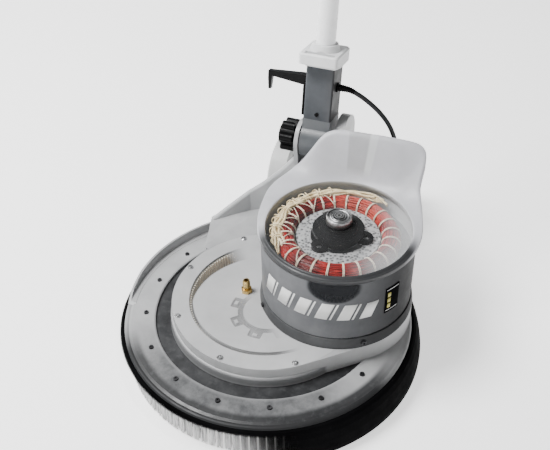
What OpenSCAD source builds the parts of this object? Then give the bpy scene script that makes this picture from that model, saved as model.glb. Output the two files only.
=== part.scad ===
// Single-disc floor machine: round brush deck, offset upright motor, tilting handle.
// Millimetres, +Z up. The origin is on the floor, on the brush axis. -Y is the front,
// +Y is the handle side, +X is the side on which the motor stands.

/* [Deck] */
// outer radius of the rubber skirt
bumper_r = 225; // [200:1:240]
// outer radius of the bright rim of the deck
lip_r = 209; // [195:1:215]
// radius of the raised hub in the middle of the deck
hub_r = 137.6; // [130:0.1:142]
// height of the hub's top above the floor
hub_z = 88; // [80:1:96]

/* [Motor] */
// direction of the motor's axis seen from the brush axis, degrees from +X
motor_dir = 24.9; // [0:0.1:60]
// outer radius of the motor's shell
shell_r = 106; // [100:0.5:112]
// height of the open rim above the floor
rim_z = 214; // [200:1:230]
// radius of the open rim
rim_r = 99.5; // [95:0.5:103]

/* [Gears] */
// module of the gears
gear_m = 1.5; // [1.5:0.5:1.5]
// teeth of the internal ring gear
ring_teeth = 148; // [148:1:148]
// teeth of the motor's pinion
pinion_teeth = 16; // [16:1:16]

/* [Handle] */
// height of the tilt axis above the floor
pivot_z = 232; // [215:1:250]
// distance of the tilt axis behind the brush axis
pivot_y = 201; // [190:1:215]
// sideways offset of the handle from the brush axis
pivot_x = 5; // [0:1:10]
// backward lean of the handle, degrees from upright
lean = 10; // [0:1:20]
// length of the handle tube's top above the tilt axis
tube_top = 955; // [850:5:1050]

/* [Wheels] */
// radius of the transport wheels
wheel_r = 65; // [50:1:70]
// height of the wheel axle above the floor
axle_z = 70; // [60:1:80]
// distance of the wheel axle behind the brush axis
axle_y = 325; // [310:1:340]

/* [Hidden] */
$fn = 96;

// ---- derived positions ----
gear_c = gear_m * (ring_teeth - pinion_teeth) / 2;
mx = gear_c * cos(motor_dir);
my = gear_c * sin(motor_dir);
cover_t = 3;
seat_z = hub_z - cover_t;
chamber_r = 121.5;
seam_z = 104.5;
shell_top = rim_z - 8;
boss_r = 40;
clr = 0.05;

// ---- colours ----
GREY = [0.72, 0.73, 0.74];
MID = [0.48, 0.49, 0.50];
DARK = [0.12, 0.12, 0.13];
BLACK = [0.05, 0.05, 0.05];
STEEL = [0.75, 0.76, 0.78];
RED = [0.62, 0.13, 0.09];
CREAM = [0.90, 0.86, 0.74];
BRASS = [0.78, 0.60, 0.26];

module at_motor() { translate([mx, my, 0]) children(); }
module at_pivot() { translate([pivot_x, pivot_y, pivot_z]) rotate([-lean, 0, 0]) children(); }
// a cylinder along X from x0 to x1
module xcyl(x0, x1, r, y = 0, z = 0, fn = $fn) {
  translate([x0, y, z]) rotate([0, 90, 0]) cylinder(r = r, h = x1 - x0, $fn = fn);
}
module box(x0, x1, y0, y1, z0, z1) {
  translate([x0, y0, z0]) cube([x1 - x0, y1 - y0, z1 - z0]);
}
// an upright bar with rounded corners
module rbar(sx, sy, z0, z1, r) {
  translate([0, 0, z0]) linear_extrude(z1 - z0) offset(r) square([sx - 2 * r, sy - 2 * r], center = true);
}

// ================= deck =================
flange_screw_angles = [for (k = [0:8]) 157.3 + 22.5 * k];
cover_screw_angles = [for (k = [0:4]) 127.8 + 45 * k];
inlet_x = -32;
inlet_y = -1;
// raised rear left of the deck: x, y, height of the top, radius of the corner
APRON = [[-124, 74, 86, 8], [-152, 155, 71, 8], [-106, 190, 76, 8], [-70, 188, 86, 12],
  [-76, 158, 88, 14]];
// upstanding rim at the rear left: its height along the machine
RIM = [[-62, 50], [-62, 55], [-36, 64.5], [0, 70], [44, 72], [80, 73], [160, 74.5], [160, 50]];
module post(p, z0) translate([p[0], p[1], z0]) cylinder(r = p[3], h = p[2] - z0, $fn = 48);

module deck_casting() color(GREY) difference() {
  union() {
    rotate_extrude($fn = 180) polygon([[chamber_r, 52], [200, 52], [203, 50.5], [203, 56], [199, 57.5],
      [165.4, 61], [163.7, 60], [163.2, 56.5], [142, 56.5], [141, 69], [139.6, 71.5], [138, 72],
      [138, seat_z], [chamber_r, seat_z]]);
    difference() {
      hull() {
        translate([0, 0, 57.6]) cylinder(r = 138, h = hub_z - 57.6, $fn = 180);
        at_motor() translate([0, 0, 57.6]) cylinder(r = 109.5, h = hub_z - 57.6, $fn = 144);
        for (p = [[-76, 158], [52, 178]]) translate([p[0], p[1], 57.6]) cylinder(r = 14, h = hub_z - 57.6);
      }
      translate([0, 0, seat_z]) cylinder(r = 137.8, h = 10, $fn = 180);
      translate([0, 0, 50]) cylinder(r = chamber_r, h = 40, $fn = 180);
    }
    difference() {
      hull() for (p = APRON) post(p, 57.6);
      translate([0, 0, seat_z]) cylinder(r = 137.8, h = 10, $fn = 180);
      translate([0, 0, 50]) cylinder(r = chamber_r, h = 40, $fn = 180);
    }
    intersection() {
      rotate([0, 0, 137.5]) rotate_extrude(angle = 61, $fn = 180) polygon([[196.7, 56], [203.2, 56.5],
        [208.6, 56.6], [208.6, 80], [205.4, 80], [205.2, 59.2], [204.4, 58.4], [196.7, 58.3]]);
      translate([-90, 0, 0]) rotate([90, 0, -90]) linear_extrude(130) mirror([1, 0]) polygon(RIM);
    }
    difference() {
      intersection() {
        hull() {
          translate([0, 0, 56]) cylinder(r = 138, h = 8, $fn = 180);
          at_motor() translate([0, 0, 56]) cylinder(r = 109.5, h = 8, $fn = 144);
          for (p = [[-76, 158], [52, 178]]) translate([p[0], p[1], 56]) cylinder(r = 14, h = 8);
        }
        translate([0, 0, 56]) cylinder(r = 202, h = 6.5, $fn = 180);
      }
      translate([0, 0, 50]) cylinder(r = 130, h = 40, $fn = 180);
    }
  }
  at_motor() translate([0, 0, seat_z]) cylinder(r = boss_r + 0.2, h = 40);
  for (a = flange_screw_angles) rotate([0, 0, a]) translate([177.7, 0, 0]) {
    translate([0, 0, 50]) cylinder(r = 2, h = 12, $fn = 24);
    translate([0, 0, 59]) cylinder(r = 3.5, h = 6, $fn = 32);
  }
  for (a = cover_screw_angles) rotate([0, 0, a]) translate([132, 0, 70]) cylinder(r = 2.5, h = 20, $fn = 24);
}

module lip_trim() color(STEEL) rotate_extrude($fn = 180)
  polygon([[203, 46], [208.6, 46], [lip_r, 46.6], [lip_r, 53.6], [207.4, 55.6], [205.4, 56.4], [203, 56.4]]);

module bumper_skirt() color(BLACK) rotate_extrude($fn = 180)
  polygon([[lip_r, 47], [lip_r, 53], [212.5, 52.4], [216, 49], [219.6, 41], [223, 28], [bumper_r, 16],
    [bumper_r, 7], [224, 5.4], [222.4, 5], [221.2, 6], [221, 15], [219, 27], [215.4, 38.6], [212, 45]]);

module gear_cover() color(GREY) difference() {
  translate([0, 0, seat_z]) cylinder(r = hub_r, h = cover_t, $fn = 180);
  at_motor() translate([0, 0, 60]) cylinder(r = boss_r + 0.2, h = 60);
  translate([inlet_x, inlet_y, 60]) cylinder(r = 5, h = 60, $fn = 48);
  for (a = cover_screw_angles) rotate([0, 0, a]) translate([132, 0, 70]) cylinder(r = 2.5, h = 40, $fn = 24);
}

module gear_cover_screws() color(STEEL)
  for (a = cover_screw_angles) rotate([0, 0, a]) translate([132, 0, 0]) {
    translate([0, 0, 72]) cylinder(r = 2.5, h = hub_z - 72, $fn = 24);
    difference() {
      union() {
        translate([0, 0, hub_z]) cylinder(r = 4.4, h = 1.2, $fn = 40);
        translate([0, 0, hub_z + 1.2]) cylinder(r1 = 4.4, r2 = 2.6, h = 1.4, $fn = 40);
      }
      for (q = [0, 90]) translate([0, 0, hub_z + 1.3]) rotate([0, 0, q]) box(-2, 2, -0.5, 0.5, 0, 3);
    }
  }

module flange_screws() color(DARK)
  for (a = flange_screw_angles) rotate([0, 0, a]) translate([177.7, 0, 0]) {
    translate([0, 0, 52]) cylinder(r = 2, h = 7, $fn = 24);
    difference() {
      translate([0, 0, 59]) cylinder(r = 3.3, h = 2.8, $fn = 32);
      translate([0, 0, 60.4]) cylinder(r = 1.7, h = 3, $fn = 6);
    }
  }

module water_inlet() color(BRASS) translate([inlet_x, inlet_y, 0]) difference() {
  union() {
    translate([0, 0, seat_z]) cylinder(r = 5, h = cover_t, $fn = 48);
    translate([0, 0, hub_z]) cylinder(r = 8.2, h = 6, $fn = 6);
    translate([0, 0, hub_z + 6]) cylinder(r = 5.6, h = 1.6, $fn = 48);
    translate([0, 0, hub_z + 7.6]) cylinder(r = 4.4, h = 6, $fn = 48);
    for (i = [0:2]) translate([0, 0, hub_z + 10 + 4 * i]) cylinder(r1 = 5.6, r2 = 4.4, h = 4, $fn = 48);
  }
  translate([0, 0, 60]) cylinder(r = 3, h = 80, $fn = 48);
}

module spindle() color(STEEL) {
  translate([0, 0, 80]) cylinder(r = 30, h = seat_z - 80);
  translate([0, 0, 37.5]) cylinder(r = 12.5, h = 42.5);
  translate([0, 0, 32]) cylinder(r = 17, h = 5.5, $fn = 6);
}

// two ball bearings between the fixed spindle and the turning hub
module bearing(ri, ro, w) {
  mid = (ri + ro) / 2;
  t = (ro - ri) * 0.27;
  rotate_extrude() {
    translate([ri, 0]) square([t, w]);
    translate([ro - t, 0]) square([t, w]);
    translate([ri + t, w * 0.12]) square([ro - ri - 2 * t, w * 0.76]);
  }
}
module spindle_bearings() color(STEEL) {
  translate([0, 0, 37.5]) bearing(12.5, 26 - clr, 12);
  translate([0, 0, 49.5]) bearing(12.5, 26 - clr, 12);
}

// ================= drive =================
module drive_plate() color(MID) difference() {
  union() {
    translate([0, 0, 50]) cylinder(r = 119.5, h = 8, $fn = 180);
    translate([0, 0, 38]) cylinder(r = 34, h = 24);
    translate([0, 0, 58]) cylinder(r = 42, h = 4);
  }
  translate([0, 0, 30]) cylinder(r = 26, h = 60);
  for (k = [0:11]) rotate([0, 0, 30 * k]) translate([45, 0, 58]) cylinder(r = 6, h = 8, $fn = 40);
  for (k = [0:5]) rotate([0, 0, 60 * k + 30]) translate([96, 0, 40]) cylinder(r = 12, h = 30, $fn = 48);
  for (k = [0:5]) rotate([0, 0, 60 * k]) translate([72, 0, 40]) cylinder(r = 3, h = 30, $fn = 24);
}

// involute helpers: angle of the flank at radius r for base radius rb
function inv_ang(r, rb) = let (c = rb / r) (sqrt(1 / (c * c) - 1) * 180 / PI) - acos(c);
function pol(r, a) = [r * cos(a), r * sin(a)];
press = 20;
ring_rp = gear_m * ring_teeth / 2;
ring_rb = ring_rp * cos(press);
ring_tip = ring_rp - 0.8 * gear_m;
ring_root = ring_rp + 1.25 * gear_m;
pin_rp = gear_m * pinion_teeth / 2;
pin_rb = pin_rp * cos(press);
pin_tip = pin_rp + 0.8 * gear_m;
pin_root = pin_rp - 1.25 * gear_m;
thin = 0.10;
// half angle of a ring space and of a pinion tooth at radius r
function ring_space(r) = 90 / ring_teeth + thin / ring_rp * 180 / PI
  + inv_ang(ring_rp, ring_rb) - inv_ang(r, ring_rb);
function pin_tooth(r) = 90 / pinion_teeth - thin / pin_rp * 180 / PI
  + inv_ang(pin_rp, pin_rb) - inv_ang(max(r, pin_rb), pin_rb);
ring_r = [ring_tip, ring_tip + 0.8, ring_tip + 1.7, ring_root];
pin_r = [pin_root, pin_rb, pin_rb + 0.5, pin_rp, pin_rp + 0.6, pin_tip];

module ring_gear() color(STEEL) translate([0, 0, 58]) {
  linear_extrude(3) difference() { circle(r = 119.5, $fn = 180); circle(r = 114, $fn = 180); }
  translate([0, 0, 3]) linear_extrude(23) difference() {
    circle(r = 119.5, $fn = 180);
    polygon([for (k = [0:ring_teeth - 1]) let (a = motor_dir + 360 / ring_teeth * k)
      each concat([for (i = [0:3]) pol(ring_r[i], a - ring_space(ring_r[i]))],
        [for (i = [3:-1:0]) pol(ring_r[i], a + ring_space(ring_r[i]))])]);
  }
}

module drive_pinion() color(STEEL) at_motor() translate([0, 0, 62.5]) linear_extrude(21.3) difference() {
  polygon([for (k = [0:pinion_teeth - 1]) let (a = motor_dir + 360 / pinion_teeth * k)
    each concat([for (i = [0:5]) pol(pin_r[i], a - pin_tooth(pin_r[i]))],
      [for (i = [5:-1:0]) pol(pin_r[i], a + pin_tooth(pin_r[i]))])]);
  circle(r = 8.5);
}

module brush_bolts() color(DARK) for (k = [0:5]) rotate([0, 0, 60 * k]) translate([72, 0, 0]) {
  translate([0, 0, 36]) cylinder(r = 3, h = 22, $fn = 24);
  translate([0, 0, 58]) cylinder(r = 5.4, h = 3.4, $fn = 6);
}

module brush_block() color([0.62, 0.45, 0.25]) difference() {
  translate([0, 0, 34]) cylinder(r = 198, h = 16, $fn = 180);
  translate([0, 0, 30]) cylinder(r = 56, h = 30);
  for (k = [0:5]) rotate([0, 0, 60 * k]) translate([72, 0, 36]) cylinder(r = 3, h = 30, $fn = 24);
}

module bristles() color([0.82, 0.82, 0.80]) rotate_extrude($fn = 180)
  polygon([[60, 0], [208, 0], [206, 14], [197, 34], [60, 34]]);

// ================= motor =================
module lower_end_shield() color(MID) at_motor() difference() {
  union() {
    translate([0, 0, hub_z]) cylinder(r = 104, h = 5, $fn = 144);
    translate([0, 0, seat_z]) cylinder(r = boss_r, h = cover_t);
    translate([0, 0, 93]) cylinder(r = 27, h = 8);
  }
  translate([0, 0, 87]) cylinder(r = 20, h = 20);
  translate([0, 0, 80]) cylinder(r = 11, h = 10);
}

module motor_base_ring() color(MID) at_motor() rotate_extrude($fn = 144)
  polygon([[104, hub_z], [109.5, hub_z], [109.5, 91], [108.6, 97], [107.4, 104], [106.9, seam_z],
    [101.5, seam_z], [101.5, 93], [104, 93]]);

module motor_shell() color(MID) at_motor() rotate_extrude($fn = 144)
  polygon([[101.5, seam_z], [104.6, seam_z], [105.2, seam_z + 1.6], [shell_r, seam_z + 1.6],
    [shell_r, shell_top],
    [101.5, shell_top]]);

module shell_screws() color(STEEL) at_motor() for (a = [-52, 38, 128, 218]) rotate([0, 0, a])
  translate([109.3, 0, 96]) rotate([0, 90, 0]) difference() {
    cylinder(r = 3.6, h = 2.6, $fn = 40);
    translate([0, 0, 1]) cylinder(r = 1.8, h = 3, $fn = 6);
  }

module label_plate() color(BLACK) at_motor() rotate([0, 0, -36]) translate([0, 0, 136])
  rotate_extrude(angle = 13, $fn = 144) translate([shell_r + 0.01, 0]) square([0.8, 44]);

module stator_core() color([0.35, 0.35, 0.37])
  at_motor() translate([0, 0, 118]) linear_extrude(62) difference() {
  circle(r = 101.5, $fn = 144);
  circle(r = 59.6, $fn = 144);
  for (k = [0:23]) rotate(15 * k) translate([70, 0]) circle(r = 6, $fn = 24);
}

// copper coils: slot bars through the core and a wound ring at each end
module stator_winding() color(RED) at_motor() {
  translate([0, 0, 194]) rotate_extrude() translate([72.5, 0]) circle(r = 12.8, $fn = 32);
  translate([0, 0, 106.4]) rotate_extrude() translate([72.5, 0]) circle(r = 11.2, $fn = 32);
  for (k = [0:23]) rotate([0, 0, 15 * k]) translate([70, 0, 116]) cylinder(r = 5.9, h = 67, $fn = 20);
}

module winding_lacing() color(CREAM) at_motor() translate([0, 0, 194])
  for (k = [0:23]) rotate([0, 0, 15 * k + 7.5]) translate([72.5, 0, 0]) rotate([90, 0, 0])
    rotate_extrude($fn = 32) translate([12.9, 0]) square([0.9, 1.8], center = false);

module lead_bundle() color(CREAM) at_motor() translate([0, 0, 206]) rotate([0, 0, 96]) {
  rotate_extrude(angle = 118) translate([89.2, 0]) circle(r = 5.2, $fn = 24);
}

// outer edge of the cap: angle about the motor axis, radius, height of the top edge
CAP = [[-90, 106.4, 211], [-60, 106.4, 211], [-40, 106.6, 211], [-20, 107.5, 211], [0, 110, 211],
  [12, 112.5, 212], [23, 114.5, 213], [30, 117, 215], [40, 123, 220], [48, 130, 228], [53, 141, 243],
  [56, 155, 258], [59, 162, 269], [63, 158, 275], [70, 148, 277], [77, 142, 277], [90, 138, 276],
  [100, 140, 275], [110, 146, 273], [115.5, 147, 269], [120, 144, 259], [126, 140, 242], [132, 139, 227],
  [140, 139, 216], [150, 136, 212], [158, 131, 211], [168, 122, 211], [180, 115.5, 211], [194, 111, 211],
  [210, 109, 211], [228, 107, 211], [250, 106.4, 211], [270, 106.4, 211]];
cap_a = [for (p = CAP) p[0]];
function cap_r(a) = lookup(a, [for (p = CAP) [p[0], p[1]]]);
function cap_z(a) = lookup(a, [for (p = CAP) [p[0], p[2]]]);
cap_n = 120;
function cap_ang(i) = -90 + 360 * i / cap_n;
// cross-section of the cap at one angle, as [radius, height] from the rim outward and back
function cap_sec(a) = let (r = cap_r(a), z = cap_z(a), k = (z - rim_z) / (r - rim_r),
  zb = min(z - 7, shell_top + max(0, z - 216) * 0.92))
  [[rim_r, shell_top], [rim_r, rim_z - 0.6], [rim_r + 0.8, rim_z],
    [rim_r + 4, rim_z + min(0, z - rim_z) * 0.3],
   [r - 1.6, z], [r - 0.4, z - 0.8], [r, z - 2.4], [r, zb], [shell_r + 0.2, shell_top]];
cap_m = 9;
module cap_solid() polyhedron(
  points = [for (i = [0:cap_n - 1]) let (a = cap_ang(i))
    each [for (p = cap_sec(a)) [p[0] * cos(a), p[0] * sin(a), p[1]]]],
  faces = [for (i = [0:cap_n - 1], j = [0:cap_m - 1]) let (i2 = (i + 1) % cap_n, j2 = (j + 1) % cap_m)
    each [[i * cap_m + j, i * cap_m + j2, i2 * cap_m + j2],
      [i * cap_m + j, i2 * cap_m + j2, i2 * cap_m + j]]]);
module motor_cap() color(GREY) at_motor() cap_solid();

// clear lid over the windings with the upper bearing's seat in the middle
module motor_lid() color([0.85, 0.9, 0.92, 0.3]) at_motor() rotate_extrude($fn = 144)
  polygon([[rim_r - 0.1, 211.6], [rim_r - 0.1, 213.4], [50, 216.6], [30, 219.4], [21.4, 222],
    [21.4, 231], [17.5, 231],
    [17.5, 219.6], [20.8, 219.2], [29, 217.6], [49.6, 214.8], [92, 211.6]]);

module box_shape(inset) polygon([[58 + inset, 120], [166 - inset, 96], [166 - inset, 168 - inset],
  [158 - inset, 176 - inset], [62 + inset, 176 - inset], [58 + inset, 172 - inset]]);
module electrical_box() color(BLACK) difference() {
  translate([0, 0, 92]) linear_extrude(shell_top - 92.4) difference() {
    box_shape(0);
    translate([mx, my]) circle(r = 110.2, $fn = 144);
  }
  translate([0, 0, 95]) linear_extrude(120) difference() {
    box_shape(3);
    translate([mx, my]) circle(r = 113.2, $fn = 144);
  }
  translate([120, 180, 196]) rotate([90, 0, 0]) cylinder(r = 5, h = 10, $fn = 40);
}
module capacitor() color([0.15, 0.15, 0.16]) translate([148, 156, 95]) {
  cylinder(r = 13, h = 82, $fn = 64);
  translate([0, 0, 82]) cylinder(r = 11, h = 3, $fn = 64);
  for (s = [-5, 5]) translate([s, 0, 85]) box(-1, 1, -3, 3, 0, 8);
}
module terminal_block() color(CREAM) difference() {
  box(72, 104, 159, 173, 150, 166);
  for (i = [0:3]) translate([76 + 8 * i, 166, 160]) cylinder(r = 2.4, h = 8, $fn = 24);
}
module box_cable_gland() color(BLACK) translate([120, 0, 196]) rotate([-90, 0, 0]) difference() {
  union() {
    translate([0, 0, 173]) cylinder(r = 5, h = 3, $fn = 40);
    translate([0, 0, 176]) cylinder(r = 8, h = 5, $fn = 6);
    translate([0, 0, 181]) cylinder(r = 5.6, h = 7, $fn = 40);
  }
  translate([0, 0, 170]) cylinder(r = 2, h = 8, $fn = 24);
}

// ================= handle bracket =================
module yz_plate(x0, x1, pts) translate([x0, 0, 0]) rotate([90, 0, 90]) linear_extrude(x1 - x0) polygon(pts);
module handle_bracket() color(GREY) difference() {
  union() {
    // foot on the deck and the saddle under the drum
    hull() {
      box(-62, 48, 158, 190, hub_z, hub_z + 8);
      box(-24.5, 45, 178, 228, 168, 196);
      box(-50, 50, 190, 236, hub_z, 120);
    }
    xcyl(-24.5, -18.5, 27, pivot_y, pivot_z);
    yz_plate(-24.5, -18.5, [[178, 190], [228, 190], [227.9, 232], [174.1, 232]]);
    xcyl(31, 45, 35, 223, 231);
    yz_plate(31, 45, [[190, 190], [228, 190], [257, 222], [188.4, 232]]);
    for (x = [-62, 50]) {
      yz_plate(x, x + 12, [[190, 90], [214, 124], [236, 128], [333, 84], [338, 62], [314, 58],
        [236, 62], [200, 84]]);
      xcyl(x, x + 12, 16, axle_y, axle_z);
    }
    box(-50, 50, 262, 274, 66, 92);
  }
  xcyl(-80, 80, 8, pivot_y, pivot_z);
  xcyl(-80, 80, 8, axle_y, axle_z);
  // room for the turning drum
  xcyl(-18.5, 31, 30, pivot_y, pivot_z);
}

// curved rib from the deck's left rear up to the pivot
RIB = [[-152, 149, 78], [-128, 168, 98], [-103, 185, 119], [-78, 191, 140], [-54, 203, 162], [-29, 211, 192]];
module bracket_rib() color(GREY) difference() {
  for (i = [0:4]) hull() for (j = [i, i + 1]) translate([RIB[j][0], RIB[j][1], 0]) {
    translate([0, 0, 60]) cylinder(r = 4.5, h = RIB[j][2] - 64, $fn = 24);
    translate([0, 0, RIB[j][2] - 4]) sphere(r = 4.5, $fn = 24);
  }
  hull() {
    box(-62, 48, 158, 190, hub_z, hub_z + 8);
    box(-24.5, 45, 178, 228, 168, 196);
    box(-50, 50, 190, 236, hub_z, 120);
  }
  hull() {
    translate([0, 0, 50]) cylinder(r = 138, h = hub_z - 50, $fn = 180);
    for (p = [[-76, 158], [52, 178]]) translate([p[0], p[1], 50]) cylinder(r = 14, h = hub_z - 50);
  }
  hull() for (p = APRON) post(p, 50);
  translate([0, 0, 40]) cylinder(r = 203, h = 17.6);
  box(-62.4, -24, 180, 300, 50, 129);
  box(-24.5, 60, 170, 260, 150, 300);
}

module pivot_bolt() color(STEEL) translate([pivot_x, 0, 0]) {
  xcyl(-56, 40, 8, pivot_y, pivot_z);
  xcyl(40, 48, 13, pivot_y, pivot_z, 6);
}
module washer_x(x0, x1) difference() {
  xcyl(x0, x1, 17, pivot_y, pivot_z);
  xcyl(x0 - 1, x1 + 1, 8, pivot_y, pivot_z);
}
module pivot_washers() color(STEEL) translate([pivot_x, 0, 0]) { washer_x(-23.5, -21.2); washer_x(21.2, 26); }
module wheel_axle() color(STEEL) xcyl(-112, 112, 8, axle_y, axle_z);
module axle_caps() color(DARK) for (s = [-1, 1]) {
  difference() {
    xcyl(s < 0 ? -114 : 107, s < 0 ? -107 : 114, 13, axle_y, axle_z);
    xcyl(-112, 112, 8, axle_y, axle_z);
  }
  difference() {
    xcyl(s < 0 ? -72.4 : 62.1, s < 0 ? -62.1 : 72.4, 12, axle_y, axle_z);
    xcyl(-112, 112, 8, axle_y, axle_z);
  }
}

// ================= rotor =================
module rotor_core() color([0.42, 0.42, 0.44]) at_motor() difference() {
  translate([0, 0, 118]) cylinder(r = 58.9, h = 60, $fn = 144);
  translate([0, 0, 110]) cylinder(r = 14, h = 80);
}
module rotor_end_rings() color([0.88, 0.88, 0.88]) at_motor() for (z = [[107, 118], [178, 197]])
  translate([0, 0, z[0]]) difference() {
    cylinder(r = 57.5, h = z[1] - z[0], $fn = 144);
    translate([0, 0, -1]) cylinder(r = 38, h = 30);
  }
module motor_shaft() color(STEEL) at_motor() {
  translate([0, 0, 62.5]) cylinder(r = 8.5, h = 41.5);
  translate([0, 0, 104]) cylinder(r = 14, h = 93);
  translate([0, 0, 197]) cylinder(r = 7.5, h = 35);
}
module centrifugal_switch() color(BLACK) at_motor() difference() {
  union() {
    translate([0, 0, 197]) cylinder(r = 30, h = 5);
    for (k = [0:2]) rotate([0, 0, 120 * k + 5]) translate([36, 0, 197]) cylinder(r = 12, h = 5, $fn = 48);
    translate([0, 0, 202]) cylinder(r = 22, h = 4);
    translate([0, 0, 206]) cylinder(r = 35.5, h = 4);
    translate([0, 0, 210]) cylinder(r1 = 27, r2 = 25, h = 2.6);
    translate([0, 0, 212.6]) cylinder(r = 18, h = 3.4);
    translate([0, 0, 216]) cylinder(r = 13, h = 3.6);
  }
  translate([0, 0, 190]) cylinder(r = 7.5, h = 40);
  for (k = [0:2]) rotate([0, 0, 120 * k + 5]) translate([38, 0, 190]) cylinder(r = 5, h = 20, $fn = 40);
}
module motor_bearings() color(STEEL) at_motor() {
  translate([0, 0, 220]) bearing(7.5, 17.45, 11);
  translate([0, 0, 87.4]) bearing(8.5, 19.95, 12);
}

// ================= handle =================
module pivot_drum() color(GREY) at_pivot() difference() {
  union() {
    xcyl(-21, 21, 28, 0, 0);
    box(-21, 21, -17, 27, 0, 38);
    translate([0, 5, 0]) rbar(36.6, 38.6, 38, 60, 2);
  }
  xcyl(-30, 30, 8.05, 0, 0);
}
module handle_column() color(MID) at_pivot() difference() {
  translate([0, 5, 0]) rbar(42, 44, 38, 124, 3);
  translate([0, 5, 0]) rbar(36.6, 38.6, 30, 130, 2);
  translate([0, -20, 47]) rotate([-90, 0, 0]) cylinder(r = 1.6, h = 8, $fn = 24);
  xcyl(15, 25, 4.5, 4, 86, 40);
}
module column_screw() color(BLACK) at_pivot() translate([0, 0, 47]) rotate([90, 0, 0]) difference() {
  union() {
    translate([0, 0, 14.4]) cylinder(r = 1.6, h = 2.6, $fn = 24);
    translate([0, 0, 17]) cylinder(r = 3, h = 1.8, $fn = 32);
  }
  translate([0, 0, 17.8]) cylinder(r = 1.4, h = 3, $fn = 6);
}
module tank_hook_collar() color(GREY) at_pivot() difference() {
  union() {
    hull() {
      translate([0, -2, 0]) rbar(58, 62, 126, 139, 5);
      translate([0, -2, 0]) rbar(54, 58, 124.5, 141, 4);
    }
    hull() {
      translate([0, 6, 0]) rbar(58, 46, 122, 128, 5);
      translate([0, 5, 0]) rbar(45, 47, 118.5, 119.5, 3.2);
    }
    translate([0, 0, 141]) cylinder(r1 = 22, r2 = 18, h = 9);
  }
  translate([0, 5, 0]) rbar(42, 44, 90, 124, 3);
  translate([0, 0, 90]) cylinder(r = 14, h = 80);
  box(-22, 22, -29, -21, 129, 160);
}
module handle_tube() color([0.86, 0.87, 0.88]) at_pivot() difference() {
  translate([0, 0, 124]) cylinder(r = 14, h = tube_top - 124, $fn = 64);
  translate([0, 0, 120]) cylinder(r = 12, h = tube_top, $fn = 64);
}
module cord_hook_lower() color(BLACK) at_pivot() {
  box(-24.5, -21, -8, 8, 40, 92);
  hull() {
    box(-30, -21, -7, 7, 85, 99);
    box(-80, -78, -4.5, 4.5, 89, 96);
  }
  hull() {
    box(-83, -77, -4.5, 4.5, 86, 96);
    box(-82, -78.5, -3.5, 3.5, 68, 72);
  }
}
module column_cable_gland() color(BLACK) at_pivot() {
  xcyl(18.4, 21, 4.5, 4, 86, 40);
  xcyl(21, 24, 7, 4, 86, 40);
  xcyl(24, 28, 5, 4, 86, 40);
}

// operating head: w runs along the tube, v across it
head_w = 900;
module head_housing() color(DARK) at_pivot() {
  for (s = [-1, 1]) xcyl(s < 0 ? -57 : 38, s < 0 ? -38 : 57, 3 - clr, lever_v, lever_w, 32);
  head_body();
}
module head_body() difference() {
  union() {
    hull() {
      translate([0, 2, 0]) rbar(112, 62, head_w + 14, head_w + 74, 10);
      translate([0, 2, 0]) rbar(96, 46, head_w + 4, head_w + 88, 8);
      translate([0, 0, 0]) rbar(44, 40, head_w - 12, head_w, 8);
    }
    for (s = [-1, 1]) xcyl(s < 0 ? -72 : 50, s < 0 ? -50 : 72, 17, 2, head_w + 56, 64);
  }
  translate([0, 0, head_w - 30]) cylinder(r = 14, h = tube_top - head_w + 30, $fn = 64);
  xcyl(-80, 80, 11, 2, head_w + 56, 64);
  // slots and pins for the levers
  for (s = [-1, 1]) box(s < 0 ? -60 : 38, s < 0 ? -38 : 60, -9, 13, head_w + 12, head_w + 34);
  translate([0, -38, head_w + 50]) rotate([-90, 0, 0]) cylinder(r = 10.2, h = 18, $fn = 64);
  translate([0, 24, head_w + 30]) rotate([-90, 0, 0]) cylinder(r = 10.1, h = 20, $fn = 64);
}
module head_cover() color(GREY) at_pivot() difference() {
  hull() {
    translate([0, 2, 0]) rbar(92, 42, head_w + 88, head_w + 89, 7);
    translate([0, 2, 0]) rbar(78, 30, head_w + 94, head_w + 95, 6);
  }
  for (x = [-32, 32]) translate([x, 2, head_w + 93]) cylinder(r = 3, h = 5, $fn = 32);
}
module grips() color(BLACK) at_pivot() {
  difference() {
    xcyl(-196, 196, 11, 2, head_w + 56, 64);
    translate([0, 0, head_w - 30]) cylinder(r = 14, h = 200, $fn = 64);
    xcyl(-49, 49, 12, 2, head_w + 56, 64);
  }
  for (s = [-1, 1]) difference() {
    union() {
      xcyl(s < 0 ? -200 : 74, s < 0 ? -74 : 200, 15.5, 2, head_w + 56, 64);
      xcyl(s < 0 ? -80 : 74, s < 0 ? -74 : 80, 19, 2, head_w + 56, 64);
    }
    xcyl(-196, 196, 11, 2, head_w + 56, 64);
  }
}
lever_v = 2;
lever_w = head_w + 23;
module lever(s) at_pivot() difference() {
  union() {
    xcyl(s < 0 ? -57 : 40, s < 0 ? -40 : 57, 6, lever_v, lever_w, 48);
    hull() {
      xcyl(s < 0 ? -57 : 50, s < 0 ? -50 : 57, 5, lever_v, lever_w, 32);
      xcyl(s < 0 ? -84 : 80, s < 0 ? -80 : 84, 4, lever_v - 26, head_w + 38, 32);
    }
    hull() {
      xcyl(s < 0 ? -84 : 80, s < 0 ? -80 : 84, 4, lever_v - 26, head_w + 38, 32);
      xcyl(s < 0 ? -176 : 172, s < 0 ? -172 : 176, 4, lever_v - 27, head_w + 52, 32);
    }
  }
  xcyl(-80, 80, 3, lever_v, lever_w, 32);
}
module trigger_left() color([0.75, 0.12, 0.08]) lever(-1);
module trigger_right() color([0.75, 0.12, 0.08]) lever(1);
module safety_button() color([0.95, 0.75, 0.1]) at_pivot() translate([0, -37.5, head_w + 50])
  rotate([-90, 0, 0]) { cylinder(r = 10, h = 12, $fn = 64); }
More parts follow.
